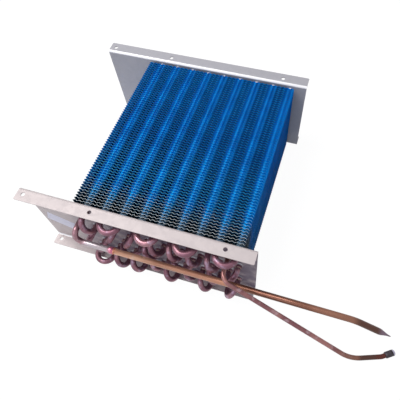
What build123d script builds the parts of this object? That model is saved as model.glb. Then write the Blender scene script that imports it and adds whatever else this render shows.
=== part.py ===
"""Finned evaporator coil of a small cold-room unit cooler.

Nine columns by six rows of tube run through a stack of fins between two channel shaped end plates.
Hairpins enter from the far plate, return bends close the circuit outside the near plate, and a
suction pipe and a liquid pipe leave past the plates' right end.

Millimetres, +Z up, the near plate facing -Y. The origin is the centre of the rectangle of outer
bolt holes in the bottom flanges, on the flanges' underside.
"""

import os
from math import cos, pi, radians, sin, sqrt, tan

from build123d import *

# Tube pattern
columns = 9
rows = 6
tube_pitch = 25.0
row_pitch = tube_pitch * sqrt(3) / 2
tube_diameter = 7.94
tube_sides = 8  # flats round each lacing tube, which is drawn solid
turn_facets = 6  # straight facets round each half turn

# Fins
fin_pitch = 4.0
fin_thickness = 0.2
fins_per_bank = 5
banks = 13
fin_margin = 8.87  # from the outer tube rows' axes to the fins' top and bottom edges
fin_base = 0.5  # above the flanges' underside
fin_headroom = 3.5  # from the fins' top to the plates' top
fin_start = 72.0  # from the plates' left end

# End plates
plate_length = 314.0
plate_thickness = 1.2
flange_width = 18.6
fold_radius = 2.5
flange_corner = 1.5
bolt_diameter = 5.5
bolt_stations = (9.0, 103.0, 277.5)  # from the plates' left end
tube_clearance = 0.15  # round a tube in its plate hole

# Lacing outside the plates
joint_reach = 5.0  # hairpin ends, beyond the fins' side of the near plate
hairpin_leg = 5.0  # straight leg beyond the fins' side of the far plate
bend_leg = (15.0, 15.0, 9.0, 9.0, 9.0, 12.0)  # return bends' straight leg, by their upper tube's row
tucked_leg = 6.0
tucked_tubes = ("13", "15")  # upper tubes of the bends that sit close to the plate

# Refrigerant path, tube after tube as row and column digits, from suction to liquid. The first
# link of each two is a hairpin behind the far plate, the second a return bend in front.
circuit = (
    "40 50 41 51 52 42 31 30 20 21 10 00 01 11 02 12 03 13 04 14 05 15 06 07 16 26 25 "
    "24 33 23 22 32 43 53 54 44 34 35 45 55 56 46 36 27 17 08 18 28 38 37 47 57 58 48"
).split()

# Suction pipe
suction_diameter = 7.94
suction_reach = 30.0  # axis of the long run, from the fins' side of the near plate
suction_drop = 20.0  # from the outlet tube down to the long run
suction_elbow = 9.5
suction_joint = 122.0  # brazed joint, from the plates' left end
suction_straight = 126.0  # long run beyond the plates' right end
suction_tail = 30.0  # slanted stretch at the end, along X
suction_dip = 14.0  # and down
suction_tail_bend = 40.0
socket_length = 8.0
socket_wall = 0.8
socket_clearance = 0.05
pinch_length = 14.0
pinch_width = 10.6
pinch_thickness = 2.4
pinch_turn = -70.0  # of the flattened width, from level

# Liquid pipe
liquid_diameter = 6.0
liquid_wall = 0.7
liquid_reach = 34.0  # from the fins' side of the near plate
liquid_elbow = 14.0
liquid_knee = (170.0, -30.6, -60.0)  # from the elbow to the bend in the free stretch
liquid_knee_bend = 40.0
liquid_tail = (35.0, 13.0, 0.5)  # from that bend to the last kink
liquid_kink_bend = 12.0
liquid_end = (12.0, 8.4, 1.3)  # from the kink to the capped end
cap_wall = 0.5
cap_grip = 10.0
cap_end = 2.0
cap_clearance = 0.05

# Paper label
label_length = 41.0
label_width = 24.0
label_thickness = 0.15
label_turn = -22.5
label_place = (27.0, 54.0)  # from the plates' left end, and above the flanges' underside

# How near to a height or side an edge lies to be picked there
edge_search = 0.01

# Worked out
coil_length = fin_pitch * (fins_per_bank * banks + 1)
fin_length = columns * tube_pitch
fin_height = row_pitch * (rows - 1) + 2 * fin_margin
plate_height = fin_base + fin_height + fin_headroom
left_end = -(bolt_stations[0] + bolt_stations[-1]) / 2
near_side = -coil_length / 2
far_side = coil_length / 2
fin_left = left_end + fin_start
lowest_row = fin_base + fin_margin
socket_bore = suction_diameter + 2 * socket_clearance
facet_angle = pi / turn_facets
# corner radius of a flat-sided tube over the radius of the round tube with its section area
flats_share = sqrt(2 * pi / (tube_sides * sin(2 * pi / tube_sides)))
hole_radius = (tube_diameter / 2 * flats_share + tube_clearance) / cos(pi / tube_sides)
cap_bore_radius = (liquid_diameter / 2 * flats_share + cap_clearance) / cos(pi / tube_sides)

os.makedirs("parts", exist_ok=True)


def save(piece, name):
    """Label a finished sub-part and write its STEP file."""
    piece.label = name
    export_step(piece, f"parts/{name}.step")


def tube_axis(code):
    """Where a tube's axis crosses the XZ plane, from its row and column digits."""
    row, column = int(code[0]), int(code[1])
    stagger = 0.75 if row % 2 else 0.25
    return Vector(fin_left + (column + stagger) * tube_pitch, 0, lowest_row + row * row_pitch)


def faceted(corners, radii):
    """Round off a line's inner corners with straight facets, of about the half turns' angle."""
    points = [corners[0]]
    for before, corner, after, radius in zip(corners, corners[1:], corners[2:], radii):
        back = (before - corner).normalized()
        ahead = (after - corner).normalized()
        bend = pi - radians(back.get_angle(ahead))
        steps = max(2, round(bend / facet_angle))
        centre = corner + (back + ahead).normalized() * radius / cos(bend / 2)
        first = corner + back * radius * tan(bend / 2) - centre
        side = -back
        for step in range(steps + 1):
            turn = bend * step / steps
            points.append(centre + first * cos(turn) + side * radius * sin(turn))
    return points + [corners[-1]]


def half_turn(start, finish, leg_root, turn_root, outward):
    """Corners of a U between two tubes: a leg along Y, a half circle of facets and a leg back."""
    across = (finish - start) / 2
    centre = start + across + Vector(0, turn_root, 0)
    corners = [start + Vector(0, leg_root, 0)]
    for step in range(turn_facets + 1):
        turn = pi * step / turn_facets
        out = Vector(0, outward * across.length * sin(turn), 0)
        corners.append(centre - across * cos(turn) + out)
    corners.append(finish + Vector(0, leg_root, 0))
    return corners


def tube_section(diameter, turn=0):
    """Flat-sided outline with a round tube's section area, drawn in the current sketch."""
    RegularPolygon(diameter / 2 * flats_share, tube_sides, rotation=turn)


def tube(corners, diameter=tube_diameter, mode=Mode.ADD):
    """Flat-sided tube along a line of straight facets, worked on the part being built."""
    with BuildLine(mode=Mode.PRIVATE) as path:
        Polyline(*corners)
    start = Plane(origin=corners[0], x_dir=(1, 0, 0), z_dir=corners[1] - corners[0])
    with BuildSketch(start, mode=Mode.PRIVATE) as section:
        tube_section(diameter)
    sweep(section.sketch, path=path.line, transition=Transition.RIGHT, mode=mode)


def edges_at(edges, y):
    """The edges that lie at one Y."""
    return edges.filter_by_position(Axis.Y, y - edge_search, y + edge_search)


def end_plate(name, side, outward):
    """Channel end plate: a web drilled for the tubes, with both flanges turned away from the fins."""
    lip = outward * flange_width
    skin = outward * plate_thickness
    top = plate_height
    with BuildPart() as plate:
        profile = Plane(origin=(left_end, side, 0), x_dir=(0, 1, 0), z_dir=(1, 0, 0))
        with BuildSketch(profile):
            with BuildLine():
                Polyline(
                    (0, 0),
                    (lip, 0),
                    (lip, plate_thickness),
                    (skin, plate_thickness),
                    (skin, top - plate_thickness),
                    (lip, top - plate_thickness),
                    (lip, top),
                    (0, top),
                    close=True,
                )
            make_face()
        extrude(amount=plate_length)
        folds = plate.edges().filter_by(Axis.X)
        outer_folds = edges_at(folds, side)
        inner_folds = edges_at(folds, side + skin)
        fillet(outer_folds, fold_radius + plate_thickness)
        fillet(inner_folds, fold_radius)
        fillet(edges_at(plate.edges().filter_by(Axis.Z), side + lip), flange_corner)
        with BuildSketch(Plane.XZ.offset(-side)):
            for code in circuit:
                axis = tube_axis(code)
                with Locations((axis.X, axis.Z)):
                    RegularPolygon(hole_radius, tube_sides)
        extrude(amount=-skin, mode=Mode.SUBTRACT)
        with BuildSketch(Plane.XY):
            with Locations(*[(left_end + station, side + lip / 2) for station in bolt_stations]):
                Circle(bolt_diameter / 2)
        extrude(amount=top, mode=Mode.SUBTRACT)
    save(plate.part, name)


def fin_bank(number):
    """One bank of flat fins, each a separate sheet."""
    first = near_side + fin_pitch * (number * fins_per_bank + 1)
    sheets = [Plane.XZ.offset(fin_thickness / 2 - first - fin_pitch * n) for n in range(fins_per_bank)]
    with BuildPart() as bank:
        with BuildSketch(*sheets):
            with Locations((fin_left + fin_length / 2, fin_base + fin_height / 2)):
                Rectangle(fin_length, fin_height)
        extrude(amount=-fin_thickness)
    save(bank.part, f"fin_bank_{number + 1:02d}")


def hairpin(number):
    """One hairpin: two legs through the fins and a half turn behind the far plate."""
    start, finish = (tube_axis(code) for code in circuit[2 * number : 2 * number + 2])
    with BuildPart() as pin:
        tube(half_turn(start, finish, near_side - joint_reach, far_side + hairpin_leg, 1))
    save(pin.part, f"hairpin_{number + 1:02d}")


def return_bends():
    """Return bends in front of the near plate, one part for each row that they hang from."""
    links = [sorted(circuit[n : n + 2], reverse=True) for n in range(1, len(circuit) - 1, 2)]
    for row in range(rows):
        own = [link for link in links if int(link[0][0]) == row]
        with BuildPart() as bends:
            for upper, lower in own:
                leg = tucked_leg if upper in tucked_tubes else bend_leg[row]
                turn_root = near_side - leg
                tube(half_turn(tube_axis(upper), tube_axis(lower), near_side - joint_reach, turn_root, -1))
        save(bends.part, f"return_bends_row_{row + 1}")


def suction_line():
    """Suction elbow with its socket, and the suction pipe with its pinched end."""
    outlet = tube_axis(circuit[0])
    run = Vector(0, near_side - suction_reach, outlet.Z - suction_drop)
    joint = Vector(left_end + suction_joint, run.Y, run.Z)
    bend = Vector(left_end + plate_length + suction_straight, run.Y, run.Z)
    tail = Vector(suction_tail, 0, -suction_dip)
    along = tail.normalized()
    with BuildPart() as elbow:
        corners = [
            outlet + Vector(0, near_side - joint_reach, 0),
            outlet + Vector(0, run.Y, 0),
            Vector(outlet.X, run.Y, run.Z),
            joint,
        ]
        tube(faceted(corners, [suction_elbow, suction_elbow]), suction_diameter)
        with BuildSketch(Plane(origin=joint - Vector(socket_wall, 0, 0), x_dir=(0, 1, 0), z_dir=(1, 0, 0))):
            tube_section(socket_bore + 2 * socket_wall)
        extrude(amount=socket_length + socket_wall)
        with BuildSketch(Plane(origin=joint, x_dir=(0, 1, 0), z_dir=(1, 0, 0))):
            tube_section(socket_bore)
        extrude(amount=socket_length, mode=Mode.SUBTRACT)
    save(elbow.part, "suction_elbow")
    with BuildPart() as pipe:
        wide = Vector(0, 1, 0).rotate(Axis(Vector(), along), pinch_turn)
        squeeze = Plane(origin=bend + tail, x_dir=wide, z_dir=along)
        for reach, width, thickness in (
            (0, suction_diameter, suction_diameter),
            (pinch_length, pinch_width, pinch_thickness),
        ):
            with BuildSketch(squeeze.offset(reach)):
                tube_section(suction_diameter, -pinch_turn)
                scale(by=(width / suction_diameter, thickness / suction_diameter, 1))
        loft(ruled=True)
        tube(faceted([bend + tail, bend, joint], [suction_tail_bend]), suction_diameter)
    save(pipe.part, "suction_pipe")


def liquid_line():
    """Liquid pipe: an elbow out of the last tube and a free stretch, with a cap over its end."""
    inlet = tube_axis(circuit[-1])
    elbow = Vector(inlet.X, near_side - liquid_reach, inlet.Z)
    knee = elbow + Vector(*liquid_knee)
    kink = knee + Vector(*liquid_tail)
    end = kink + Vector(*liquid_end)
    corners = [inlet + Vector(0, near_side - joint_reach, 0), elbow, knee, kink, end]
    route = faceted(corners, [liquid_elbow, liquid_knee_bend, liquid_kink_bend])
    with BuildPart() as pipe:
        tube(route, liquid_diameter)
        tube(route, liquid_diameter - 2 * liquid_wall, Mode.SUBTRACT)
    save(pipe.part, "liquid_pipe")
    mouth = Plane(origin=end, x_dir=(1, 0, 0), z_dir=end - kink).offset(-cap_grip)
    with BuildPart() as cap:
        with BuildSketch(mouth):
            RegularPolygon(cap_bore_radius + cap_wall, tube_sides)
        extrude(amount=cap_grip + cap_end)
        with BuildSketch(mouth):
            RegularPolygon(cap_bore_radius, tube_sides)
        extrude(amount=cap_grip, mode=Mode.SUBTRACT)
    save(cap.part, "liquid_pipe_cap")


def paper_label():
    """Blank paper label on the outside of the near web."""
    web = near_side - plate_thickness
    with BuildPart() as label:
        with BuildSketch(Plane.XZ.offset(-web)):
            with Locations((left_end + label_place[0], label_place[1])):
                Rectangle(label_length, label_width, rotation=label_turn)
        extrude(amount=label_thickness)
    save(label.part, "paper_label")


end_plate("near_end_plate", near_side, -1)
end_plate("far_end_plate", far_side, 1)
for bank_number in range(banks):
    fin_bank(bank_number)
for hairpin_number in range(len(circuit) // 2):
    hairpin(hairpin_number)
return_bends()
suction_line()
liquid_line()
paper_label()
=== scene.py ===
"""Dressed finned evaporator coil of a walk-in unit cooler.

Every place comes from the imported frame, in metres. Each class below holds one sub-assembly's sizes,
builds its meshes and dresses them.
"""

import logging
from dataclasses import dataclass, field, replace
from enum import Enum
from math import cos, pi, radians, sin, tan

import bpy
from mathutils import Matrix, Vector


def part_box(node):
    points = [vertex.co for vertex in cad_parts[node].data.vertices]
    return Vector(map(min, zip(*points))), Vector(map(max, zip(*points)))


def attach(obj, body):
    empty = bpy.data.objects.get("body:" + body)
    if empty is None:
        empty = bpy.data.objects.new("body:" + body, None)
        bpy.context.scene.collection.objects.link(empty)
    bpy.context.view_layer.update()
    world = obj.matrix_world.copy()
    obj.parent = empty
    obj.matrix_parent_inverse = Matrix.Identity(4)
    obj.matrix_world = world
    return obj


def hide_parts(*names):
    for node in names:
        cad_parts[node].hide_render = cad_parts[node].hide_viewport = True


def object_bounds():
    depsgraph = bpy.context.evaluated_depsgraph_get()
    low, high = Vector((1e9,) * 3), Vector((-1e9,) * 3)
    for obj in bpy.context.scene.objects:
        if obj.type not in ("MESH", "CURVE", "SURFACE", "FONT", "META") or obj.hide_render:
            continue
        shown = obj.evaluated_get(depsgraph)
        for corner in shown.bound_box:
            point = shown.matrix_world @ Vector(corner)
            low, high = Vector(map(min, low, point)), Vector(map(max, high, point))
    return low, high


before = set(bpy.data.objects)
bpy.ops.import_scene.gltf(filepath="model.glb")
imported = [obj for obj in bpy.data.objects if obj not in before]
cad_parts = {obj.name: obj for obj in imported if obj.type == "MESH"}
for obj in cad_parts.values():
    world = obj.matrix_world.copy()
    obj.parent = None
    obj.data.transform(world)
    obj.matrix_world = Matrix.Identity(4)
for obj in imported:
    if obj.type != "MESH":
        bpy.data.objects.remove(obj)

CAD_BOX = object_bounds()
ROOT = "root"
log = logging.getLogger("coil")

Colour = tuple[float, float, float]
Point = tuple[float, float, float]
Station = tuple[Vector, float, float]
Materials = list[bpy.types.Material]

ALONG_X = Vector((1.0, 0.0, 0.0))
ALONG_Y = Vector((0.0, 1.0, 0.0))


# ---- shader maths


class Socket:
    """A shader value that Python's operators work on, adding Math nodes to its graph."""

    def __init__(self, graph: "Graph", link: bpy.types.NodeSocket | None) -> None:
        """Wrap an output socket.

        Args:
            graph: The graph that the socket belongs to.
            link: The output socket, or None for a node that has no output.
        """
        self.graph = graph
        self.link = link

    def _math(self, operation: str, first: "Value", second: "Value") -> "Socket":
        """Add one Math node for an operation on two values and return its output."""
        return self.graph.node("ShaderNodeMath", {"operation": operation}, {0: first, 1: second})

    def __add__(self, other: "Value") -> "Socket":
        """Sum of two values."""
        return self._math("ADD", self, other)

    def __radd__(self, other: "Value") -> "Socket":
        """Sum with the number first."""
        return self._math("ADD", other, self)

    def __sub__(self, other: "Value") -> "Socket":
        """Difference of two values."""
        return self._math("SUBTRACT", self, other)

    def __rsub__(self, other: "Value") -> "Socket":
        """Difference with the number first."""
        return self._math("SUBTRACT", other, self)

    def __mul__(self, other: "Value") -> "Socket":
        """Product of two values."""
        return self._math("MULTIPLY", self, other)

    def __rmul__(self, other: "Value") -> "Socket":
        """Product with the number first."""
        return self._math("MULTIPLY", other, self)

    def __truediv__(self, other: "Value") -> "Socket":
        """Quotient of two values."""
        return self._math("DIVIDE", self, other)

    def ramp(self, low: float, high: float) -> "Socket":
        """Smooth step of the value from 0 at low to 1 at high.

        Args:
            low: Value that gives 0.
            high: Value that gives 1. It may lie below low.

        Returns:
            The stepped value.
        """
        flipped = high < low
        return self.graph.node(
            "ShaderNodeMapRange",
            {"interpolation_type": "SMOOTHSTEP"},
            {0: self, 1: min(low, high), 2: max(low, high), 3: float(flipped), 4: float(not flipped)},
        )


Value = Socket | float | int


class Graph:
    """The node tree of one material or of the world."""

    def __init__(self, owner: bpy.types.Material | bpy.types.World) -> None:
        """Take the owner's tree and clear it.

        Args:
            owner: The material or world, with its nodes switched on.
        """
        self.tree = owner.node_tree
        self.tree.nodes.clear()

    def node(
        self,
        kind: str,
        settings: dict[str, object] | None = None,
        values: dict[str | int, object] | None = None,
        output: str | int = 0,
    ) -> Socket:
        """Add a node, set it up and feed its sockets.

        Args:
            kind: The node's type name.
            settings: Its own properties.
            values: Numbers, colours or Sockets by input name or index.
            output: Name or index of the output to return.

        Returns:
            The chosen output.
        """
        made = self.tree.nodes.new(kind)
        for name, setting in (settings or {}).items():
            setattr(made, name, setting)
        for name, value in (values or {}).items():
            if isinstance(value, Socket):
                self.tree.links.new(value.link, made.inputs[name])
            else:
                made.inputs[name].default_value = value
        return Socket(self, made.outputs[output] if made.outputs else None)

    def place(self) -> Socket:
        """The point on the piece, in metres in its own axes."""
        return self.node("ShaderNodeTexCoord", output="Object")

    def position(self) -> Socket:
        """The point in the scene, in metres."""
        return self.node("ShaderNodeNewGeometry", output="Position")

    def plain_view(self) -> Socket:
        """1 on rays from the lens, off gloss and through glass, and 0 on those that only light."""
        rays = ("Is Camera Ray", "Is Glossy Ray", "Is Transmission Ray")
        return sum(self.node("ShaderNodeLightPath", output=ray) for ray in rays)

    def split(self, vector: Socket, axis: str) -> Socket:
        """One component of a vector, by its letter."""
        return self.node("ShaderNodeSeparateXYZ", values={0: vector}, output=axis)

    def noise(self, place: Socket, scale: float | Point, detail: float = 3.0) -> Socket:
        """Fractal noise from 0 to 1.

        Args:
            place: Where it is read, in metres.
            scale: Cells to the metre, the same all round or along each axis.
            detail: How many finer layers it has.

        Returns:
            The noise.
        """
        if isinstance(scale, tuple):
            place = self.node("ShaderNodeVectorMath", {"operation": "MULTIPLY"}, {0: place, 1: scale})
            scale = 1.0
        return self.node("ShaderNodeTexNoise", values={"Vector": place, "Scale": scale, "Detail": detail})

    def cells(self, vector: Socket, scale: float) -> Socket:
        """A flat random grey for each cell of a cell pattern."""
        shade = self.node("ShaderNodeTexVoronoi", values={"Vector": vector, "Scale": scale}, output="Color")
        return self.node("ShaderNodeSeparateColor", values={0: shade})

    def blend(self, mask: Value, low: Colour | Socket, high: Colour | Socket) -> Socket:
        """Mix of two colours: low where the mask is 0 and high where it is 1."""
        ends = [value if isinstance(value, Socket) else (*value, 1.0) for value in (low, high)]
        return self.node(
            "ShaderNodeMix", {"data_type": "RGBA"}, {0: mask, 6: ends[0], 7: ends[1]}, output=2
        )

    def least(self, first: Value, second: Value) -> Socket:
        """The smaller of two values."""
        return self.node("ShaderNodeMath", {"operation": "MINIMUM"}, {0: first, 1: second})

    def zigzag(self, value: Value, reach: float) -> Socket:
        """A value folded up and down between 0 and reach."""
        return self.node("ShaderNodeMath", {"operation": "PINGPONG"}, {0: value, 1: reach})

    def relief(self, height: Socket, depth: float) -> Socket:
        """A normal from a height field, depth in metres."""
        feed = {"Strength": 1.0, "Distance": depth, "Height": height}
        return self.node("ShaderNodeBump", values=feed)

    def surface(self, values: dict[str, object]) -> None:
        """Finish the material as a Principled surface with the given socket values."""
        self.finish(self.node("ShaderNodeBsdfPrincipled", values=values))

    def finish(self, shader: Socket, output: str = "ShaderNodeOutputMaterial") -> None:
        """Join a shader to the tree's output node."""
        self.node(output, values={"Surface": shader})


# ---- finishes


@dataclass(frozen=True)
class Finish:
    """A named node material."""

    name: str

    def material(self) -> bpy.types.Material:
        """Build the material.

        Returns:
            The material.
        """
        made = bpy.data.materials.new(self.name)
        made.use_nodes = True
        self.draw(Graph(made))
        return made

    def draw(self, graph: Graph) -> None:
        """Draw the finish's nodes."""
        raise NotImplementedError


@dataclass(frozen=True)
class SmokeAndShade:
    """Dark purple-grey film on a plate's web behind the bends, partly brazing smoke and partly painted
    shade, from start to full along X and from low to high.
    """

    start: float
    full: float
    low: float
    high: float
    fade: float = 0.004
    cloud_scale: float = 60.0
    thinnest: float = 0.35
    cover: float = 0.9
    colour: Colour = (0.105, 0.072, 0.130)

    def over(self, graph: Graph, place: Socket, colour: Socket) -> Socket:
        """Lay the film over a sheet's colour.

        Args:
            graph: The sheet's material.
            place: The point on the sheet.
            colour: The sheet's own colour.

        Returns:
            The colour with the film laid over.
        """
        where = graph.position()
        x, z = graph.split(where, "X"), graph.split(where, "Z")
        above, below = z.ramp(self.low, self.low + self.fade), z.ramp(self.high, self.high - self.fade)
        between = graph.least(above, below)
        cloud = graph.noise(place, self.cloud_scale, 5.0).ramp(0.30, 0.62)
        # Partly painted shade: the film darkens the web where it lies behind the bends.
        film = x.ramp(self.start, self.full) * between
        thickness = self.thinnest + (1 - self.thinnest) * cloud
        return graph.blend(film * thickness * self.cover, colour, self.colour)


@dataclass(frozen=True)
class Galvanised(Finish):
    """Zinc-coated sheet steel: faint spangle, rolled streaks, a soft sheen and a painted highlight on
    folds.
    """

    light: Colour = (0.61, 0.54, 0.53)
    dark: Colour = (0.47, 0.425, 0.43)
    # Near-white painted highlight for folds that face both up and toward -Y.
    painted_fold_highlight: Colour = (0.95, 0.95, 0.96)
    mottle: float = 0.5
    metallic: float = 0.15
    roughness: float = 0.46
    spangle_scale: float = 190.0
    streak_scale: Point = (6.0, 260.0, 260.0)
    smear_scale: float = 26.0
    scuff_scale: Point = (35.0, 120.0, 120.0)
    relief: float = 0.00001
    smoke_and_shade: SmokeAndShade | None = None

    def draw(self, graph: Graph) -> None:
        """Draw the finish's nodes.

        Args:
            graph: The material's graph.
        """
        place = graph.place()
        spangle = graph.cells(place, self.spangle_scale)
        streaks = graph.noise(place, self.streak_scale, 4.0)
        smears = graph.noise(place, self.smear_scale, 4.0)
        mask = 0.35 * spangle + 0.35 * streaks + 0.3 * smears.ramp(0.3, 0.75)
        scuffs = graph.noise(place, self.scuff_scale, 2.0).ramp(0.66, 0.74)
        colour = graph.blend(mask * self.mottle, self.light, self.dark)
        # Painted highlight: faces turned both up and toward -Y, such as the far plate's fold and the lips'
        # rims, are painted near white.
        normal = graph.node("ShaderNodeNewGeometry", output="Normal")
        painted_highlight_mask = graph.split(normal, "Y") * graph.split(normal, "Z") * -2.0
        colour = graph.blend(painted_highlight_mask.ramp(0.25, 0.7), colour, self.painted_fold_highlight)
        # Film of brazing smoke and painted shade over the web behind the bends.
        if self.smoke_and_shade:
            colour = self.smoke_and_shade.over(graph, place, colour)
        graph.surface(
            {
                "Base Color": colour,
                "Metallic": self.metallic,
                "Roughness": self.roughness + 0.12 * spangle + 0.1 * scuffs,
                "Normal": graph.relief(streaks + 0.4 * spangle, self.relief),
            }
        )


@dataclass(frozen=True)
class CoatedFin(Finish):
    """Fin stock with a blue water-shedding coat, darkened by painted shade deep in the stack and near the
    near plate.

    The stack reaches from low to high. Its coat keeps a painted light at the open edges and in painted
    light bands, within a given half width of the tubes of the top and bottom rows, which are staggered by
    half a pitch.
    """

    low: Point
    high: Point
    pitch: float
    coat: Colour = (0.0, 0.33, 0.82)
    thick: Colour = (0.0, 0.265, 0.72)
    # Painted shade for deep inside the stack.
    painted_deep_shade: Colour = (0.001, 0.007, 0.095)
    # Painted shade toward the near plate.
    near_plate_shade: Colour = (0.008, 0.018, 0.020)
    shade_fade_start: float = 0.0004
    shade_fade_stop: float = 0.0050
    lit_band_half: float = 0.0035
    lit_band_clear: float = 0.0085
    row_blend: float = 0.001
    drift_scale: float = 40.0
    near_shade_reach: float = 0.052
    near_shade_full: float = 0.014
    near_shade_ragged: float = 0.016
    near_shade_scale: float = 30.0
    near_shade_cover: float = 0.92
    grain_scale: Point = (900.0, 900.0, 108.0)
    roughness: float = 0.45
    specular: float = 0.08
    relief: float = 0.00001

    def draw(self, graph: Graph) -> None:
        """Draw the finish's nodes.

        Args:
            graph: The material's graph.
        """
        place = graph.position()
        x, y, z = (graph.split(place, axis) for axis in "XYZ")
        # Painted shade: the coat darkens with depth from the stack's open edges, as in shade deep between
        # the fins.
        from_ends = graph.least(self.high[2] - z, z - self.low[2])
        from_sides = graph.least(x - self.low[0], self.high[0] - x)
        painted_shade_mask = graph.least(from_ends, from_sides).ramp(self.shade_fade_start, self.shade_fade_stop)
        # Painted light: bands over the outer rows' tubes stay bright, as if lit by light off the collars.
        painted_shade_mask = painted_shade_mask * self.off_lit_bands(graph, x, z)
        drift = graph.noise(place, self.drift_scale, 4.0)
        coat = graph.blend(drift.ramp(0.3, 0.7), self.coat, self.thick)
        coat = graph.blend(painted_shade_mask, coat, self.painted_deep_shade)
        # Painted shade: the sheets and collars darken and grey toward the near plate, with a ragged edge.
        depth = y + self.near_shade_ragged * graph.noise(place, self.near_shade_scale)
        near_shade = depth.ramp(self.low[1] + self.near_shade_reach, self.low[1] + self.near_shade_full)
        grain = graph.noise(place, self.grain_scale, 2.0)
        graph.surface(
            {
                "Base Color": graph.blend(near_shade * self.near_shade_cover, coat, self.near_plate_shade),
                "Roughness": self.roughness + 0.15 * grain,
                "Specular IOR Level": self.specular,
                "Normal": graph.relief(grain, self.relief),
            }
        )

    def off_lit_bands(self, graph: Graph, x: Socket, z: Socket) -> Socket:
        """0 in line with a tube of the nearer outer row, where a painted light band keeps the coat bright,
        and 1 well between two of them.

        Args:
            graph: The fin's material.
            x: Place along the plates.
            z: Height.

        Returns:
            The mask.
        """
        middle = (self.low[2] + self.high[2]) / 2
        upper = z.ramp(middle, middle + self.row_blend)
        from_first = x - (self.low[0] + self.pitch / 4) - upper * (self.pitch / 2)
        return graph.zigzag(from_first, self.pitch / 2).ramp(self.lit_band_half, self.lit_band_clear)


@dataclass(frozen=True)
class CutEdge(Finish):
    """Edge where the fin stock was sheared, bare at the near side and coated toward the far one."""

    near_side: float
    light: Colour = (0.80, 0.85, 0.86)
    sheen: Colour = (0.08, 0.48, 0.66)
    dark: Colour = (0.04, 0.19, 0.48)
    back_reach: float = 0.10
    patch_scale: float = 120.0
    patchiness: float = 0.6
    metallic: float = 0.1
    roughness: float = 0.45
    specular: float = 0.2

    def draw(self, graph: Graph) -> None:
        """Draw the finish's nodes.

        Args:
            graph: The material's graph.
        """
        place = graph.position()
        patches = graph.noise(place, self.patch_scale)
        smeared = (graph.split(place, "Y") - self.near_side) / self.back_reach
        coated = smeared + self.patchiness * (patches - 0.5)
        colour = graph.blend(coated.ramp(0.0, 0.5), self.light, self.sheen)
        colour = graph.blend(coated.ramp(0.5, 1.4), colour, self.dark)
        graph.surface(
            {
                "Base Color": colour,
                "Metallic": self.metallic,
                "Roughness": self.roughness + 0.25 * patches,
                "Specular IOR Level": self.specular,
            }
        )


@dataclass(frozen=True)
class Tint:
    """A colour that comes in along a pipe's X, from nothing at start to its cover at full."""

    start: float
    full: float
    colour: Colour
    cover: float


@dataclass(frozen=True)
class Copper(Finish):
    """Copper tube under a film of oxide, with heat tints along it."""

    metal: Colour
    oxide: Colour
    bloom: Colour
    roughness: float
    cover: float = 0.5
    metallic: float = 0.55
    patch_scale: float = 60.0
    film_ratio: float = 3.1
    drawn_scale: Point = (20.0, 900.0, 900.0)
    relief: float = 0.00002
    tint_waver: float = 0.006
    tints: tuple[Tint, ...] = ()

    def draw(self, graph: Graph) -> None:
        """Draw the finish's nodes.

        Args:
            graph: The material's graph.
        """
        place = graph.place()
        patches = graph.noise(place, self.patch_scale, 5.0)
        film = graph.noise(place, self.patch_scale * self.film_ratio)
        drawn = graph.noise(place, self.drawn_scale, 2.0)
        oxidised = patches.ramp(0.62 - self.cover * 0.5, 0.82 - self.cover * 0.5)
        colour = graph.blend(oxidised, self.metal, self.oxide)
        colour = graph.blend(film.ramp(0.52, 0.72) * 0.55, colour, self.bloom)
        if self.tints:
            along = graph.split(place, "X") + self.tint_waver * (film - 0.5)
            for tint in self.tints:
                share = along.ramp(tint.start, tint.full) * tint.cover
                colour = graph.blend(share, colour, tint.colour)
        graph.surface(
            {
                "Base Color": colour,
                "Metallic": self.metallic,
                "Roughness": self.roughness + 0.22 * oxidised * film + 0.06 * drawn,
                "Normal": graph.relief(drawn + 0.6 * film, self.relief),
            }
        )


@dataclass(frozen=True)
class Braze(Finish):
    """Brazing alloy, a little lumpy and smoked in patches."""

    bright: Colour = (0.34, 0.24, 0.20)
    smoked: Colour = (0.12, 0.07, 0.07)
    metallic: float = 0.5
    roughness: float = 0.38
    lump_scale: float = 420.0
    relief: float = 0.0002

    def draw(self, graph: Graph) -> None:
        """Draw the finish's nodes.

        Args:
            graph: The material's graph.
        """
        lumps = graph.noise(graph.place(), self.lump_scale)
        graph.surface(
            {
                "Base Color": graph.blend(lumps.ramp(0.4, 0.65), self.bright, self.smoked),
                "Metallic": self.metallic,
                "Roughness": self.roughness + 0.3 * lumps,
                "Normal": graph.relief(lumps, self.relief),
            }
        )


@dataclass(frozen=True)
class Paper(Finish):
    """Blank paper label with soft fibres and greyer thumbed smudges."""

    clean: Colour = (0.82, 0.82, 0.92)
    worn: Colour = (0.60, 0.61, 0.72)
    roughness: float = 0.8
    fibre_scale: Point = (900.0, 900.0, 2600.0)
    smudge_scale: float = 55.0
    relief: float = 0.00003

    def draw(self, graph: Graph) -> None:
        """Draw the finish's nodes.

        Args:
            graph: The material's graph.
        """
        place = graph.place()
        fibres = graph.noise(place, self.fibre_scale)
        smudge = graph.noise(place, self.smudge_scale, 4.0).ramp(0.48, 0.62)
        graph.surface(
            {
                "Base Color": graph.blend(0.25 * fibres + 0.45 * smudge, self.clean, self.worn),
                "Roughness": self.roughness + 0.1 * fibres,
                "Normal": graph.relief(fibres, self.relief),
            }
        )


@dataclass(frozen=True)
class MouldedCap(Finish):
    """Moulded plastic, greyed by handling."""

    body: Colour
    worn: Colour
    roughness: float = 0.45
    dust_scale: float = 260.0
    relief: float = 0.00006

    def draw(self, graph: Graph) -> None:
        """Draw the finish's nodes.

        Args:
            graph: The material's graph.
        """
        dust = graph.noise(graph.place(), self.dust_scale, 4.0)
        graph.surface(
            {
                "Base Color": graph.blend(dust.ramp(0.42, 0.68), self.body, self.worn),
                "Roughness": self.roughness + 0.2 * dust,
                "Normal": graph.relief(dust, self.relief),
            }
        )


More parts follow.
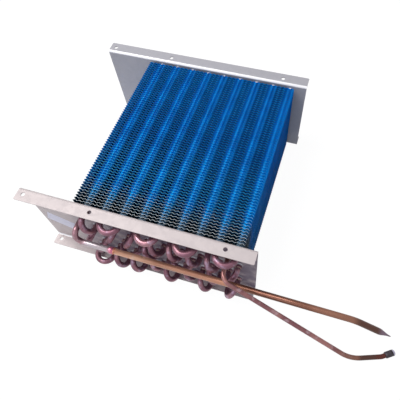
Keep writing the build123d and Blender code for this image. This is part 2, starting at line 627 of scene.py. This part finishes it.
@dataclass(frozen=True)
class Backdrop(Finish):
    """Pale studio floor: white to the lens and to reflections, with a faint shadow left on it."""

    pale: Colour = (0.86, 0.86, 0.86)
    shadow_share: float = 0.10
    glow: float = 1.07

    def draw(self, graph: Graph) -> None:
        """Draw the finish's nodes.

        Args:
            graph: The material's graph.
        """
        glow = {"Color": (1.0, 1.0, 1.0, 1.0), "Strength": self.glow}
        white = graph.node("ShaderNodeEmission", values=glow)
        matt = graph.node("ShaderNodeBsdfDiffuse", values={"Color": (*self.pale, 1.0)})
        mask = graph.plain_view() * (1.0 - self.shadow_share)
        graph.finish(graph.node("ShaderNodeMixShader", values={0: mask, 1: matt, 2: white}))


# ---- meshes


class Shading(Enum):
    """How a mesh's faces are shaded."""

    FLAT = False
    SMOOTH = True


@dataclass
class Shell:
    """A mesh being put together from points and faces, each face with a finish number and a shading."""

    points: list[Vector] = field(default_factory=list)
    faces: list[tuple[int, ...]] = field(default_factory=list)
    finishes: list[int] = field(default_factory=list)
    shadings: list[bool] = field(default_factory=list)

    def add_face(self, corners: tuple[int, ...], finish: int, shading: Shading) -> None:
        """Add one face on points already added.

        Args:
            corners: Numbers of its points, in order.
            finish: Its finish number.
            shading: How it is shaded.
        """
        self.faces.append(corners)
        self.finishes.append(finish)
        self.shadings.append(shading.value)

    def add_rings(self, rings: list[list[Vector]], finish: int = 0, capped: bool = True) -> None:
        """Skin a row of closed rings that have the same number of points, shaded smooth.

        Args:
            rings: The rings, in order.
            finish: Finish number of the faces.
            capped: Whether the first and last ring are closed with a face.
        """
        base, count = len(self.points), len(rings[0])
        for ring in rings:
            self.points.extend(ring)
        for row in range(len(rings) - 1):
            for step in range(count):
                after = (step + 1) % count
                low, high = base + row * count, base + (row + 1) * count
                corners = (low + step, low + after, high + after, high + step)
                self.add_face(corners, finish, Shading.SMOOTH)
        if capped:
            last = base + (len(rings) - 1) * count
            self.add_face(tuple(range(base + count - 1, base - 1, -1)), finish, Shading.SMOOTH)
            self.add_face(tuple(range(last, last + count)), finish, Shading.SMOOTH)

    def mesh(self, name: str) -> bpy.types.Mesh:
        """Turn the shell into a mesh.

        Args:
            name: The mesh's name.

        Returns:
            The mesh, with its faces' finish numbers and shading set.
        """
        made = bpy.data.meshes.new(name)
        made.from_pydata([tuple(point) for point in self.points], [], self.faces)
        made.polygons.foreach_set("material_index", self.finishes)
        made.polygons.foreach_set("use_smooth", self.shadings)
        made.update()
        return made


def sweep(
    shell: Shell,
    stations: list[Station],
    sides: int = 20,
    finish: int = 0,
    across: Vector | Point = (0.0, 0.0, 1.0),
) -> None:
    """Skin a closed tube whose section is an ellipse that may change on the way.

    Args:
        shell: The shell to add to.
        stations: Points on the axis, each with the section's two half widths there.
        sides: Points round the tube.
        finish: Finish number of the faces.
        across: Direction of the first half width at the start, carried along from there.
    """
    turns = [2 * pi * n / sides for n in range(sides)]
    carried = Vector(across)
    rings = []
    for place, (point, wide, high) in enumerate(stations):
        before = stations[max(place - 1, 0)][0]
        after = stations[min(place + 1, len(stations) - 1)][0]
        forward = (after - before).normalized()
        carried = (carried - forward * carried.dot(forward)).normalized()
        other = forward.cross(carried)
        rings.append([point + carried * wide * cos(t) + other * high * sin(t) for t in turns])
    shell.add_rings(rings, finish)


@dataclass(frozen=True)
class BrazeRing:
    """Ring of brazing alloy that fills the step from a mouth to the tube in it.

    It narrows at the four reaches, which are distances out of the mouth.
    """

    outer: float
    inner: float
    reaches: tuple[float, ...]
    sides: int = 20
    crown: float = 0.0001
    foot: float = 0.0002

    def add(self, shell: Shell, mouth: Vector, outward: Vector) -> None:
        """Add the ring.

        Args:
            shell: The shell to add to.
            mouth: Middle of the mouth.
            outward: Direction out of the mouth.
        """
        radii = (self.outer, self.outer - self.crown, self.inner + self.foot, self.inner)
        stations = [(mouth + outward * reach, r, r) for reach, r in zip(self.reaches, radii)]
        sweep(shell, stations, self.sides)


def rounded(corners: list[Vector], radii: list[float], steps: int) -> list[Vector]:
    """Replace a line's inner corners with arcs.

    Args:
        corners: The line's points.
        radii: Arc radius at each inner corner.
        steps: Chords in each arc.

    Returns:
        The rounded line's points.
    """
    points = [corners[0]]
    for before, corner, after, radius in zip(corners, corners[1:], corners[2:], radii):
        back = (before - corner).normalized()
        ahead = (after - corner).normalized()
        bend = pi - back.angle(ahead)
        centre = corner + (back + ahead).normalized() * radius / cos(bend / 2)
        first = corner + back * radius * tan(bend / 2) - centre
        for step in range(steps + 1):
            turn = bend * step / steps
            points.append(centre + first * cos(turn) - back * radius * sin(turn))
    points.append(corners[-1])
    return points


def place_piece(
    name: str,
    mesh: bpy.types.Mesh,
    materials: Materials,
    replaced: str | None = None,
    along: float = 0.0,
) -> None:
    """Put a mesh in the scene as a piece that rides on the frame.

    Args:
        name: The piece's name.
        mesh: Its mesh, which several pieces may share.
        materials: The mesh's materials, in the order of the faces' finish numbers.
        replaced: CAD node that it stands for, or None for a detail on top of the CAD.
        along: How far the piece is moved along Y.
    """
    piece = bpy.data.objects.new(name, mesh)
    if not mesh.materials:
        for material in materials:
            mesh.materials.append(material)
    piece.location.y = along
    bpy.context.scene.collection.objects.link(piece)
    bpy.context.view_layer.update()
    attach(piece, ROOT)
    if replaced:
        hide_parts(replaced)
    log.info("%s: %d faces, stands for %s", name, len(mesh.polygons), replaced or "detail only")


def place_round(node: str, shell: Shell, materials: Materials) -> None:
    """Put a round tube, pipe or cap in the scene in place of its CAD node.

    Args:
        node: The CAD node.
        shell: The round shape.
        materials: Its materials, in the order of the faces' finish numbers.
    """
    place_piece(f"round_{node}", shell.mesh(node), materials, node)


def dress_sheet(node: str, finish: bpy.types.Material) -> None:
    """Give a CAD sheet its finish.

    Args:
        node: The sheet's node.
        finish: The finish.
    """
    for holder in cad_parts[node].material_slots:
        holder.material = finish
    log.info("%s: CAD sheet dressed", node)


# ---- layout


@dataclass
class TubeLayout:
    """Where the tubes run, set out from the first fin bank's own box."""

    columns: int = 9
    rows: int = 6
    circuit: tuple[str, ...] = tuple(
        (
            "40 50 41 51 52 42 31 30 20 21 10 00 01 11 02 12 03 13 04 14 05 15 06 07 16 26 25 "
            "24 33 23 22 32 43 53 54 44 34 35 45 55 56 46 36 27 17 08 18 28 38 37 47 57 58 48"
        ).split()
    )
    radius: float = 0.00397
    joint_reach: float = 0.005
    turn_steps: int = 16
    row_odd: float = 0.75
    row_even: float = 0.25

    def __post_init__(self) -> None:
        """Work out the pitches from the fin bank's box."""
        self.low, self.high = (Vector(corner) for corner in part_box("fin_bank_01"))
        self.pitch = (self.high.x - self.low.x) / self.columns
        self.row_pitch = self.pitch * 3**0.5 / 2
        self.bottom = (self.low.z + self.high.z - self.row_pitch * (self.rows - 1)) / 2
        self.near_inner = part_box("near_end_plate")[1][1]
        self.far_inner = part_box("far_end_plate")[0][1]

    def axis(self, code: str) -> Vector:
        """Find a tube's axis on the XZ plane.

        Args:
            code: The tube's row and column digits.

        Returns:
            The axis's point at Y = 0.
        """
        row, column = int(code[0]), int(code[1])
        stagger = self.row_odd if row % 2 else self.row_even
        x = self.low.x + (column + stagger) * self.pitch
        return Vector((x, 0.0, self.bottom + row * self.row_pitch))

    def joint(self, axis: Vector) -> Vector:
        """Where a bend or a pipe starts in the belled end on a tube's axis."""
        return axis + ALONG_Y * (self.near_inner - self.joint_reach)

    def half_turn(self, start: Vector, finish: Vector, root: float, outward: float) -> list[Vector]:
        """Points round a half turn between two tubes.

        Args:
            start: First tube's axis.
            finish: Second tube's axis.
            root: Y where the turn leaves the straight legs.
            outward: Side that the turn bulges to along Y, 1 or -1.

        Returns:
            Points from the first leg's end to the second leg's.
        """
        across = (finish - start) / 2
        centre = start + across + ALONG_Y * root
        bulge = ALONG_Y * outward * across.length
        turns = [pi * step / self.turn_steps for step in range(self.turn_steps + 1)]
        return [centre - across * cos(t) + bulge * sin(t) for t in turns]


# ---- sub-assemblies


@dataclass
class EndPlates:
    """Both channel plates: the CAD sheets dressed, with the drawn lips round the tubes added."""

    layout: TubeLayout
    sheet: float = 0.0012
    lip_rise: float = 0.0014
    far_lip_rise: float = 0.0028
    lip_inner: float = 0.0041
    lip_outer: float = 0.0052
    rim_crown: float = 0.0001
    rim_bevel: float = 0.0003
    rim_ease: float = 0.0002
    foot_rise: float = 0.0004
    foot_edge: float = 0.00005
    root_outer: float = 0.0060
    lip_sides: int = 24
    smoke_and_shade_before: float = 0.035
    smoke_and_shade_after: float = 0.02
    smoke_and_shade_margin: float = 0.002

    def build(self) -> None:
        """Make the lips of each plate and dress both sheets."""
        low, high = self.layout.low, self.layout.high
        # Dark film over the near web behind the bends: partly brazing smoke, partly painted shade.
        smoke_and_shade = SmokeAndShade(
            start=low.x - self.smoke_and_shade_before,
            full=low.x + self.smoke_and_shade_after,
            low=low.z + self.smoke_and_shade_margin,
            high=high.z - self.smoke_and_shade_margin,
        )
        near_zinc = Galvanised("near_galvanised_sheet", smoke_and_shade=smoke_and_shade).material()
        # Painted shade: the far sheet's zinc is a darker, bluer copy of the near one, standing in for the
        # lower light at the far plate.
        far_zinc_painted_shade = Galvanised(
            "far_galvanised_sheet_painted_shade", light=(0.45, 0.445, 0.475), dark=(0.35, 0.35, 0.385)
        ).material()
        far_outer = self.layout.far_inner + self.sheet
        for name, zinc, root, rise in (
            ("near_end_plate", near_zinc, self.layout.near_inner, self.lip_rise),
            ("far_end_plate", far_zinc_painted_shade, far_outer, self.far_lip_rise),
        ):
            dress_sheet(name, zinc)
            shell = Shell()
            for code in self.layout.circuit:
                self.add_lip(shell, self.layout.axis(code), root, rise)
            mesh = shell.mesh("tube_lips")
            place_piece(f"{name}_tube_lips", mesh, [near_zinc])

    def add_lip(self, shell: Shell, axis: Vector, root: float, rise: float) -> None:
        """Add the lip that was drawn out of the sheet round one tube, toward -Y.

        Args:
            shell: The shell to add to.
            axis: The tube's axis.
            root: Y of the sheet's face on the +Y side.
            rise: How far the lip stands out of the sheet.
        """
        face, top = self.sheet, self.sheet + rise
        profile = (
            (0.0, self.lip_inner),
            (top, self.lip_inner),
            (top + self.rim_crown, self.lip_inner + self.rim_bevel),
            (top, self.lip_outer - self.rim_ease),
            (face + self.foot_rise, self.lip_outer + self.rim_ease),
            (face + self.foot_edge, self.root_outer),
            (0.0, self.root_outer),
        )
        turns = [2 * pi * n / self.lip_sides for n in range(self.lip_sides)]
        rings = [
            [axis + Vector((r * cos(t), root - out, r * sin(t))) for out, r in profile] for t in turns
        ]
        shell.add_rings(rings + [rings[0]], capped=False)


@dataclass
class FinStack:
    """Rippled fins with their collars, one piece for each bank."""

    layout: TubeLayout
    pitch: float = 0.004
    per_bank: int = 5
    banks: int = 13
    thickness: float = 0.0003
    cad_thickness: float = 0.0002
    ripples: int = 36
    ripple_rise: float = 0.0008
    collar_radius: float = 0.0050
    collar_gap: float = 0.0004
    neck_start: float = 0.0011
    neck_end: float = 0.0005
    neck_swell: float = 0.0004
    flare_radius: float = 0.0064
    collar_sides: int = 16

    def build(self) -> None:
        """Make one bank's mesh and place it for every bank."""
        low = (self.layout.low.x, self.layout.near_inner, self.layout.low.z)
        high = (self.layout.high.x, self.layout.far_inner, self.layout.high.z)
        sheet = CoatedFin("blue_coated_fin", low, high, self.layout.pitch)
        # Painted light: the collars get a brighter coat than the sheets and keep it deeper into the stack,
        # as a lit copy of the sheets' finish; they grey toward the near plate as painted shade.
        collar = replace(
            sheet,
            name="blue_coated_collar",
            coat=(0.0, 0.42, 0.92),
            near_plate_shade=(0.16, 0.19, 0.20),
            shade_fade_start=0.012,
            shade_fade_stop=0.020,
            near_shade_reach=0.040,
            near_shade_full=0.006,
        )
        edge = CutEdge("bare_fin_edge", self.layout.near_inner)
        materials = [finish.material() for finish in (sheet, edge, collar)]
        shell = Shell()
        for number in range(self.per_bank):
            self.add_sheet(shell, number * self.pitch)
        for code in self.layout.circuit:
            self.add_collars(shell, self.layout.axis(code))
        mesh = shell.mesh("fin_bank")
        for number in range(1, self.banks + 1):
            node = f"fin_bank_{number:02d}"
            first_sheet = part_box(node)[0][1] + self.cad_thickness / 2
            place_piece(f"rippled_{node}", mesh, materials, node, first_sheet)

    def add_sheet(self, shell: Shell, depth: float) -> None:
        """Add one rippled sheet.

        Args:
            shell: The shell to add to.
            depth: The sheet's middle along Y, from the bank's first sheet.
        """
        low, high = self.layout.low, self.layout.high
        steps = self.ripples * 2
        base = len(shell.points)
        half = self.thickness / 2
        for step in range(steps + 1):
            x = low.x + (high.x - low.x) * step / steps
            y = depth + self.ripple_rise * (1 if step % 2 else -1)
            for side, z in ((-half, low.z), (half, low.z), (half, high.z), (-half, high.z)):
                shell.points.append(Vector((x, y + side, z)))
        for step in range(steps):
            a, b = base + 4 * step, base + 4 * (step + 1)
            for near, far, finish in ((0, 1, 1), (1, 2, 0), (2, 3, 1), (3, 0, 0)):
                shell.add_face((a + near, a + far, b + far, b + near), finish, Shading.FLAT)
        last = base + 4 * steps
        shell.add_face((base + 3, base + 2, base + 1, base), 1, Shading.FLAT)
        shell.add_face((last, last + 1, last + 2, last + 3), 1, Shading.FLAT)

    def add_collars(self, shell: Shell, axis: Vector) -> None:
        """Add the row of collars that space the fins on one tube.

        Args:
            shell: The shell to add to.
            axis: The tube's axis.
        """
        turns = [2 * pi * n / self.collar_sides for n in range(self.collar_sides)]
        rings = []
        for number in range(self.per_bank):
            for along, radius in (
                (self.collar_gap - self.pitch, self.collar_radius),
                (-self.neck_start, self.collar_radius),
                (-self.neck_end, self.collar_radius + self.neck_swell),
                (0.0, self.flare_radius),
            ):
                y = number * self.pitch + along
                rings.append([axis + Vector((radius * cos(t), y, radius * sin(t))) for t in turns])
        shell.add_rings(rings, finish=2)


@dataclass
class LacingTubes:
    """Hairpins through the fins and the return bends that join them, brazed at the near plate.

    Each row has its bend_leg, and the bends whose upper tube is in tucked have the shorter one.
    """

    layout: TubeLayout
    bell_radius: float = 0.00445
    bell_length: float = 0.0035
    bell_straight: float = 0.0021
    bead_reach: float = 0.0004
    bead_swell: float = 0.0002
    rim_reach: float = 0.0054
    ring_reaches: tuple[float, ...] = (-0.0002, 0.0003, 0.0008, 0.0012)
    far_leg: float = 0.005
    bend_leg: tuple[float, ...] = (0.015, 0.015, 0.009, 0.009, 0.009, 0.012)
    tucked_leg: float = 0.006
    tucked: tuple[str, ...] = ("13", "15")
    bend_copper: Copper = Copper(
        "oxidised_copper_bend",
        metal=(0.37, 0.185, 0.215),
        oxide=(0.21, 0.090, 0.125),
        bloom=(0.50, 0.39, 0.53),
        roughness=0.27,
        cover=0.6,
        patch_scale=45.0,
    )

    def build(self) -> None:
        """Make the hairpins, the bends of each row and their brazed joints."""
        copper = [self.bend_copper.material()]
        braze = [Braze("brazing_alloy").material()]
        codes = self.layout.circuit
        for number in range(len(codes) // 2):
            start, finish = (self.layout.axis(code) for code in codes[2 * number : 2 * number + 2])
            shell = Shell()
            self.add_hairpin(shell, start, finish)
            place_round(f"hairpin_{number + 1:02d}", shell, copper)
        links = [sorted(codes[n : n + 2], reverse=True) for n in range(1, len(codes) - 1, 2)]
        for row in range(self.layout.rows):
            shell = Shell()
            for upper, lower in (link for link in links if int(link[0][0]) == row):
                self.add_bend(shell, upper, lower)
            place_round(f"return_bends_row_{row + 1}", shell, copper)
        rings = Shell()
        rim = ALONG_Y * (self.layout.near_inner - self.rim_reach)
        ring = BrazeRing(self.bell_radius, self.layout.radius, self.ring_reaches)
        for code in codes:
            ring.add(rings, self.layout.axis(code) + rim, -ALONG_Y)
        place_piece("brazed_rings", rings.mesh("brazed_rings"), braze)

    def add_hairpin(self, shell: Shell, start: Vector, finish: Vector) -> None:
        """Add one hairpin with a belled mouth on each leg.

        Args:
            shell: The shell to add to.
            start: First leg's axis.
            finish: Second leg's axis.
        """
        rim = self.layout.near_inner - self.rim_reach
        radius = self.layout.radius
        mouth = [
            (rim, self.bell_radius),
            (rim + self.bead_reach, self.bell_radius + self.bead_swell),
            (rim + self.bell_straight, self.bell_radius),
            (rim + self.bell_length, radius),
        ]
        leg_in = [(start + ALONG_Y * y, r, r) for y, r in mouth]
        leg_out = [(finish + ALONG_Y * y, r, r) for y, r in reversed(mouth)]
        turn = self.layout.half_turn(start, finish, self.layout.far_inner + self.far_leg, 1.0)
        stations = leg_in + [(point, radius, radius) for point in turn] + leg_out
        sweep(shell, stations, across=self.square_to(start, finish))

    def add_bend(self, shell: Shell, upper: str, lower: str) -> None:
        """Add one return bend.

        Args:
            shell: The shell to add to.
            upper: Code of the upper tube.
            lower: Code of the lower tube.
        """
        start, finish = self.layout.axis(upper), self.layout.axis(lower)
        leg = self.tucked_leg if upper in self.tucked else self.bend_leg[int(upper[0])]
        turn = self.layout.half_turn(start, finish, self.layout.near_inner - leg, -1.0)
        path = [self.layout.joint(start), *turn, self.layout.joint(finish)]
        radius = self.layout.radius
        stations = [(point, radius, radius) for point in path]
        sweep(shell, stations, across=self.square_to(start, finish))

    @staticmethod
    def square_to(start: Vector, finish: Vector) -> Vector:
        """Direction square to a turn's plane, which holds Y and both tubes' axes."""
        return ALONG_Y.cross((finish - start).normalized())


@dataclass
class SuctionLine:
    """Elbow out of the first tube, the brazed socket and the long pipe with its pinched end.

    The tail is the step from the pipe's knee to where its pinch starts.
    """

    layout: TubeLayout
    reach: float = 0.030
    drop: float = 0.020
    elbow_radius: float = 0.0095
    elbow_steps: int = 12
    socket_radius: float = 0.00482
    socket_start: float = 0.0012
    socket_ease: float = 0.0001
    socket_straight: float = 0.003
    socket_length: float = 0.008
    ring_reaches: tuple[float, ...] = (-0.0002, 0.0004, 0.0012, 0.0018)
    straight: float = 0.126
    tail: Point = (0.030, 0.0, -0.014)
    tail_bend: float = 0.04
    tail_steps: int = 10
    pinch_length: float = 0.014
    pinch_half_width: float = 0.0050
    pinch_half_thickness: float = 0.0010
    pinch_turn: float = -70.0
    pinch_steps: int = 8
    sides: int = 28

    def build(self) -> None:
        """Make the elbow, the socket's brazing and the pipe."""
        outlet = self.layout.axis(self.layout.circuit[0])
        pipe_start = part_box("suction_pipe")[0][0]
        plate_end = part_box("near_end_plate")[1][0]
        joint = Vector((pipe_start, self.layout.near_inner - self.reach, outlet.z - self.drop))
        self.build_elbow(outlet, joint)
        self.build_socket_ring(joint + ALONG_X * self.socket_length)
        self.build_pipe(joint, Vector((plate_end + self.straight, joint.y, joint.z)))

    def build_elbow(self, outlet: Vector, joint: Vector) -> None:
        """Make the elbow with its swaged socket.

        Args:
            outlet: Axis of the tube that it leaves.
            joint: Start of the socket.
        """
        corners = [
            self.layout.joint(outlet),
            outlet + ALONG_Y * joint.y,
            Vector((outlet.x, joint.y, joint.z)),
            joint,
        ]
        tube = self.layout.radius
        path = rounded(corners, [self.elbow_radius] * 2, self.elbow_steps)
        stations = [(point, tube, tube) for point in path]
        for along, radius in (
            (self.socket_start, self.socket_radius - self.socket_ease),
            (self.socket_straight, self.socket_radius),
            (self.socket_length, self.socket_radius),
        ):
            stations.append((joint + ALONG_X * along, radius, radius))
        shell = Shell()
        sweep(shell, stations, self.sides)
        copper = Copper(
            "smoked_elbow_copper",
            metal=(0.46, 0.26, 0.28),
            oxide=(0.32, 0.17, 0.20),
            bloom=(0.52, 0.46, 0.50),
            roughness=0.20,
            metallic=0.65,
            tints=(
                Tint(outlet.x + 0.002, outlet.x + 0.018, (0.50, 0.47, 0.50), 0.8),
                Tint(joint.x - 0.003, joint.x + 0.005, (0.58, 0.15, 0.24), 0.9),
            ),
        )
        place_round("suction_elbow", shell, [copper.material()])

    def build_socket_ring(self, mouth: Vector) -> None:
        """Make the ring of brazing in the socket's mouth.

        Args:
            mouth: Middle of the mouth.
        """
        shell = Shell()
        ring = BrazeRing(self.socket_radius, self.layout.radius, self.ring_reaches, self.sides)
        ring.add(shell, mouth, ALONG_X)
        braze = Braze("joint_braze", bright=(0.80, 0.38, 0.20), smoked=(0.45, 0.16, 0.12))
        mesh = shell.mesh("suction_joint_braze")
        place_piece("suction_joint_braze", mesh, [braze.material()])

    def build_pipe(self, joint: Vector, knee: Vector) -> None:
        """Make the long pipe, flattened to a spade at its end.

        Args:
            joint: Start of the pipe.
            knee: Corner where it turns down.
        """
        radius = self.layout.radius
        end = knee + Vector(self.tail)
        along = Vector(self.tail).normalized()
        path = rounded([joint, knee, end], [self.tail_bend], self.tail_steps)
        stations = [(point, radius, radius) for point in path]
        for step in range(1, self.pinch_steps + 1):
            share = step / self.pinch_steps
            eased = share * share * (3 - 2 * share)
            half_width = radius + (self.pinch_half_width - radius) * eased
            half_thickness = radius + (self.pinch_half_thickness - radius) * eased
            stations.append((end + along * self.pinch_length * share, half_width, half_thickness))
        mouth = joint.x + self.socket_length
        tip = (end + along * self.pinch_length).x
        # Partly painted highlight: the bright metal near the socket, before the first tint darkens it,
        # stands in for a highlight there as well as clean copper.
        copper = Copper(
            "bright_copper_pipe",
            metal=(0.86, 0.52, 0.36),
            oxide=(0.72, 0.38, 0.25),
            bloom=(0.80, 0.62, 0.55),
            roughness=0.24,
            cover=0.45,
            metallic=0.6,
            patch_scale=30.0,
            tints=(
                Tint(mouth + 0.015, mouth + 0.08, (0.38, 0.165, 0.105), 0.8),
                Tint(knee.x - 0.165, knee.x - 0.125, (0.125, 0.043, 0.025), 0.9),
                Tint(knee.x - 0.07, knee.x - 0.03, (0.29, 0.135, 0.090), 0.8),
                Tint(knee.x - 0.004, knee.x + 0.008, (0.085, 0.036, 0.026), 0.92),
                Tint(tip - 0.016, tip - 0.008, (0.20, 0.14, 0.19), 0.85),
            ),
        )
        shell = Shell()
        turn = radians(self.pinch_turn)
        sweep(shell, stations, self.sides, across=(0.0, cos(turn), sin(turn)))
        place_round("suction_pipe", shell, [copper.material()])


@dataclass
class LiquidLine:
    """Thin pipe from the last tube, kinked near its end and closed by a cap.

    Knee, tail and end are the steps from each corner of the pipe to the next.
    """

    layout: TubeLayout
    radius: float = 0.0029
    reach: float = 0.034
    elbow_radius: float = 0.014
    knee: Point = (0.170, -0.0304, -0.060)
    knee_radius: float = 0.04
    tail: Point = (0.035, 0.013, 0.0005)
    kink_radius: float = 0.012
    bend_steps: int = 12
    end: Point = (0.012, 0.0084, 0.0013)
    cap_radius: float = 0.0039
    cap_grip: float = 0.010
    cap_end: float = 0.002
    cap_edge: float = 0.0005
    dome: float = 0.0024
    dome_steps: int = 6
    sides: int = 24

    def build(self) -> None:
        """Make the pipe and its cap."""
        inlet = self.layout.axis(self.layout.circuit[-1])
        elbow = inlet + ALONG_Y * (self.layout.near_inner - self.reach)
        knee = elbow + Vector(self.knee)
        kink = knee + Vector(self.tail)
        end = kink + Vector(self.end)
        corners = [self.layout.joint(inlet), elbow, knee, kink, end]
        radii = [self.elbow_radius, self.knee_radius, self.kink_radius]
        path = rounded(corners, radii, self.bend_steps)
        copper = Copper(
            "brown_copper_pipe",
            metal=(0.34, 0.155, 0.145),
            oxide=(0.21, 0.085, 0.095),
            bloom=(0.50, 0.36, 0.39),
            roughness=0.28,
            patch_scale=35.0,
            tints=(
                Tint(knee.x - 0.03, knee.x + 0.003, (0.19, 0.085, 0.050), 0.8),
                Tint(knee.x + 0.006, knee.x + 0.014, (0.055, 0.020, 0.015), 0.85),
                Tint(kink.x - 0.010, kink.x - 0.003, (0.10, 0.018, 0.012), 0.7),
            ),
        )
        shell = Shell()
        sweep(shell, [(point, self.radius, self.radius) for point in path], self.sides)
        place_round("liquid_pipe", shell, [copper.material()])
        self.build_cap(end, (end - kink).normalized())

    def build_cap(self, end: Vector, along: Vector) -> None:
        """Make the cap with its eased rim and an end painted pale as a highlight.

        Args:
            end: The pipe's end.
            along: Direction out of the pipe.
        """
        radius, edge = self.cap_radius, self.cap_edge
        shoulder = self.cap_end - self.dome
        side = [
            (-self.cap_grip, radius - edge),
            (-self.cap_grip + edge, radius),
            (shoulder, radius),
        ]
        turns = [pi / 2 * step / self.dome_steps for step in range(self.dome_steps + 1)]
        face = [(shoulder + self.dome * sin(t), radius - self.dome * (1 - cos(t))) for t in turns]
        shell = Shell()
        for finish, profile in enumerate((side, face)):
            stations = [(end + along * reach, width, width) for reach, width in profile]
            sweep(shell, stations, self.sides, finish)
        side_finish = MouldedCap("black_cap_side", (0.014, 0.009, 0.013), (0.045, 0.034, 0.045))
        # Painted highlight: the domed end is a pale copy of the black cap's finish, standing in for the
        # light it catches.
        painted_highlight_end = MouldedCap("cap_end_painted_highlight", (0.36, 0.33, 0.46), (0.60, 0.57, 0.70), 0.30)
        materials = [side_finish.material(), painted_highlight_end.material()]
        place_round("liquid_pipe_cap", shell, materials)


@dataclass
class PaperLabel:
    """Blank paper label on the near web: the CAD sheet dressed."""

    node: str = "paper_label"

    def build(self) -> None:
        """Dress the label."""
        dress_sheet(self.node, Paper("label_paper").material())


# ---- studio


@dataclass(frozen=True)
class Softbox:
    """A square soft lamp, its place, side, power in watts and colour."""

    name: str
    place: Point
    size: float
    power: float
    colour: Colour

    def hang(self) -> None:
        """Hang the lamp, aimed at the part's middle."""
        data = bpy.data.lights.new(self.name, "AREA")
        data.size = self.size
        data.energy = self.power
        data.color = self.colour
        lamp = bpy.data.objects.new(self.name, data)
        lamp.location = self.place
        middle = (Vector(CAD_BOX[0]) + Vector(CAD_BOX[1])) / 2
        lamp.rotation_euler = (middle - Vector(self.place)).to_track_quat("-Z", "Y").to_euler()
        bpy.context.scene.collection.objects.link(lamp)


@dataclass
class Studio:
    """Floor, soft lights and the camera."""

    eye: Point = (0.20709, -0.32125, 0.56123)
    right: Point = (0.95192915, 0.30277659, -0.04644602)
    up: Point = (-0.24262274, 0.83782743, 0.48905972)
    back: Point = (0.18698958, -0.45428134, 0.87101283)
    lens: float = 37.115
    shift_x: float = -0.0522
    shift_y: float = 0.0306
    floor_size: float = 6.0
    floor_gap: float = 0.0005
    world_strength: float = 0.26
    world_tint: Colour = (0.84, 0.86, 1.0)
    key: Softbox = Softbox("key_softbox", (-0.60, -0.10, 1.5), 0.8, 19.0, (1.0, 0.985, 0.97))
    fill: Softbox = Softbox("fill_softbox", (-0.45, -1.3, 1.1), 0.9, 4.8, (0.90, 0.90, 1.0))

    def build(self) -> None:
        """Set the stage."""
        self.build_floor()
        self.build_world()
        self.build_camera()
        for lamp in (self.key, self.fill):
            lamp.hang()
        bpy.context.scene.view_settings.view_transform = "Standard"

    def build_floor(self) -> None:
        """Lay the floor just under the part."""
        half = self.floor_size / 2
        level = CAD_BOX[0][2] - self.floor_gap
        corners = ((-half, -half), (half, -half), (half, half), (-half, half))
        mesh = bpy.data.meshes.new("studio_floor")
        mesh.from_pydata([(x, y, level) for x, y in corners], [], [(0, 1, 2, 3)])
        mesh.materials.append(Backdrop("studio_floor").material())
        floor = bpy.data.objects.new("studio_floor", mesh)
        bpy.context.scene.collection.objects.link(floor)

    def build_world(self) -> None:
        """Light the part from all round, white to the lens and to reflections."""
        world = bpy.data.worlds.new("studio")
        world.use_nodes = True
        bpy.context.scene.world = world
        graph = Graph(world)
        mask = graph.plain_view()
        strength = self.world_strength + mask * (1.0 - self.world_strength)
        colour = graph.blend(mask, self.world_tint, (1.0, 1.0, 1.0))
        light = graph.node("ShaderNodeBackground", values={"Color": colour, "Strength": strength})
        graph.finish(light, "ShaderNodeOutputWorld")

    def build_camera(self) -> None:
        """Set the camera."""
        data = bpy.data.cameras.new("camera")
        data.sensor_width = 36.0
        data.lens = self.lens
        data.shift_x = self.shift_x
        data.shift_y = self.shift_y
        data.clip_start = 0.01
        camera = bpy.data.objects.new("camera", data)
        rows = zip(self.right, self.up, self.back, self.eye)
        camera.matrix_world = Matrix((*rows, (0.0, 0.0, 0.0, 1.0)))
        bpy.context.scene.collection.objects.link(camera)
        bpy.context.scene.camera = camera


def main() -> None:
    """Build every sub-assembly in order, then the studio."""
    logging.basicConfig(level=logging.INFO, format="%(message)s")
    layout = TubeLayout()
    for assembly in (EndPlates, FinStack, LacingTubes, SuctionLine, LiquidLine):
        assembly(layout).build()
    PaperLabel().build()
    Studio().build()


if __name__ == "__main__":
    main()
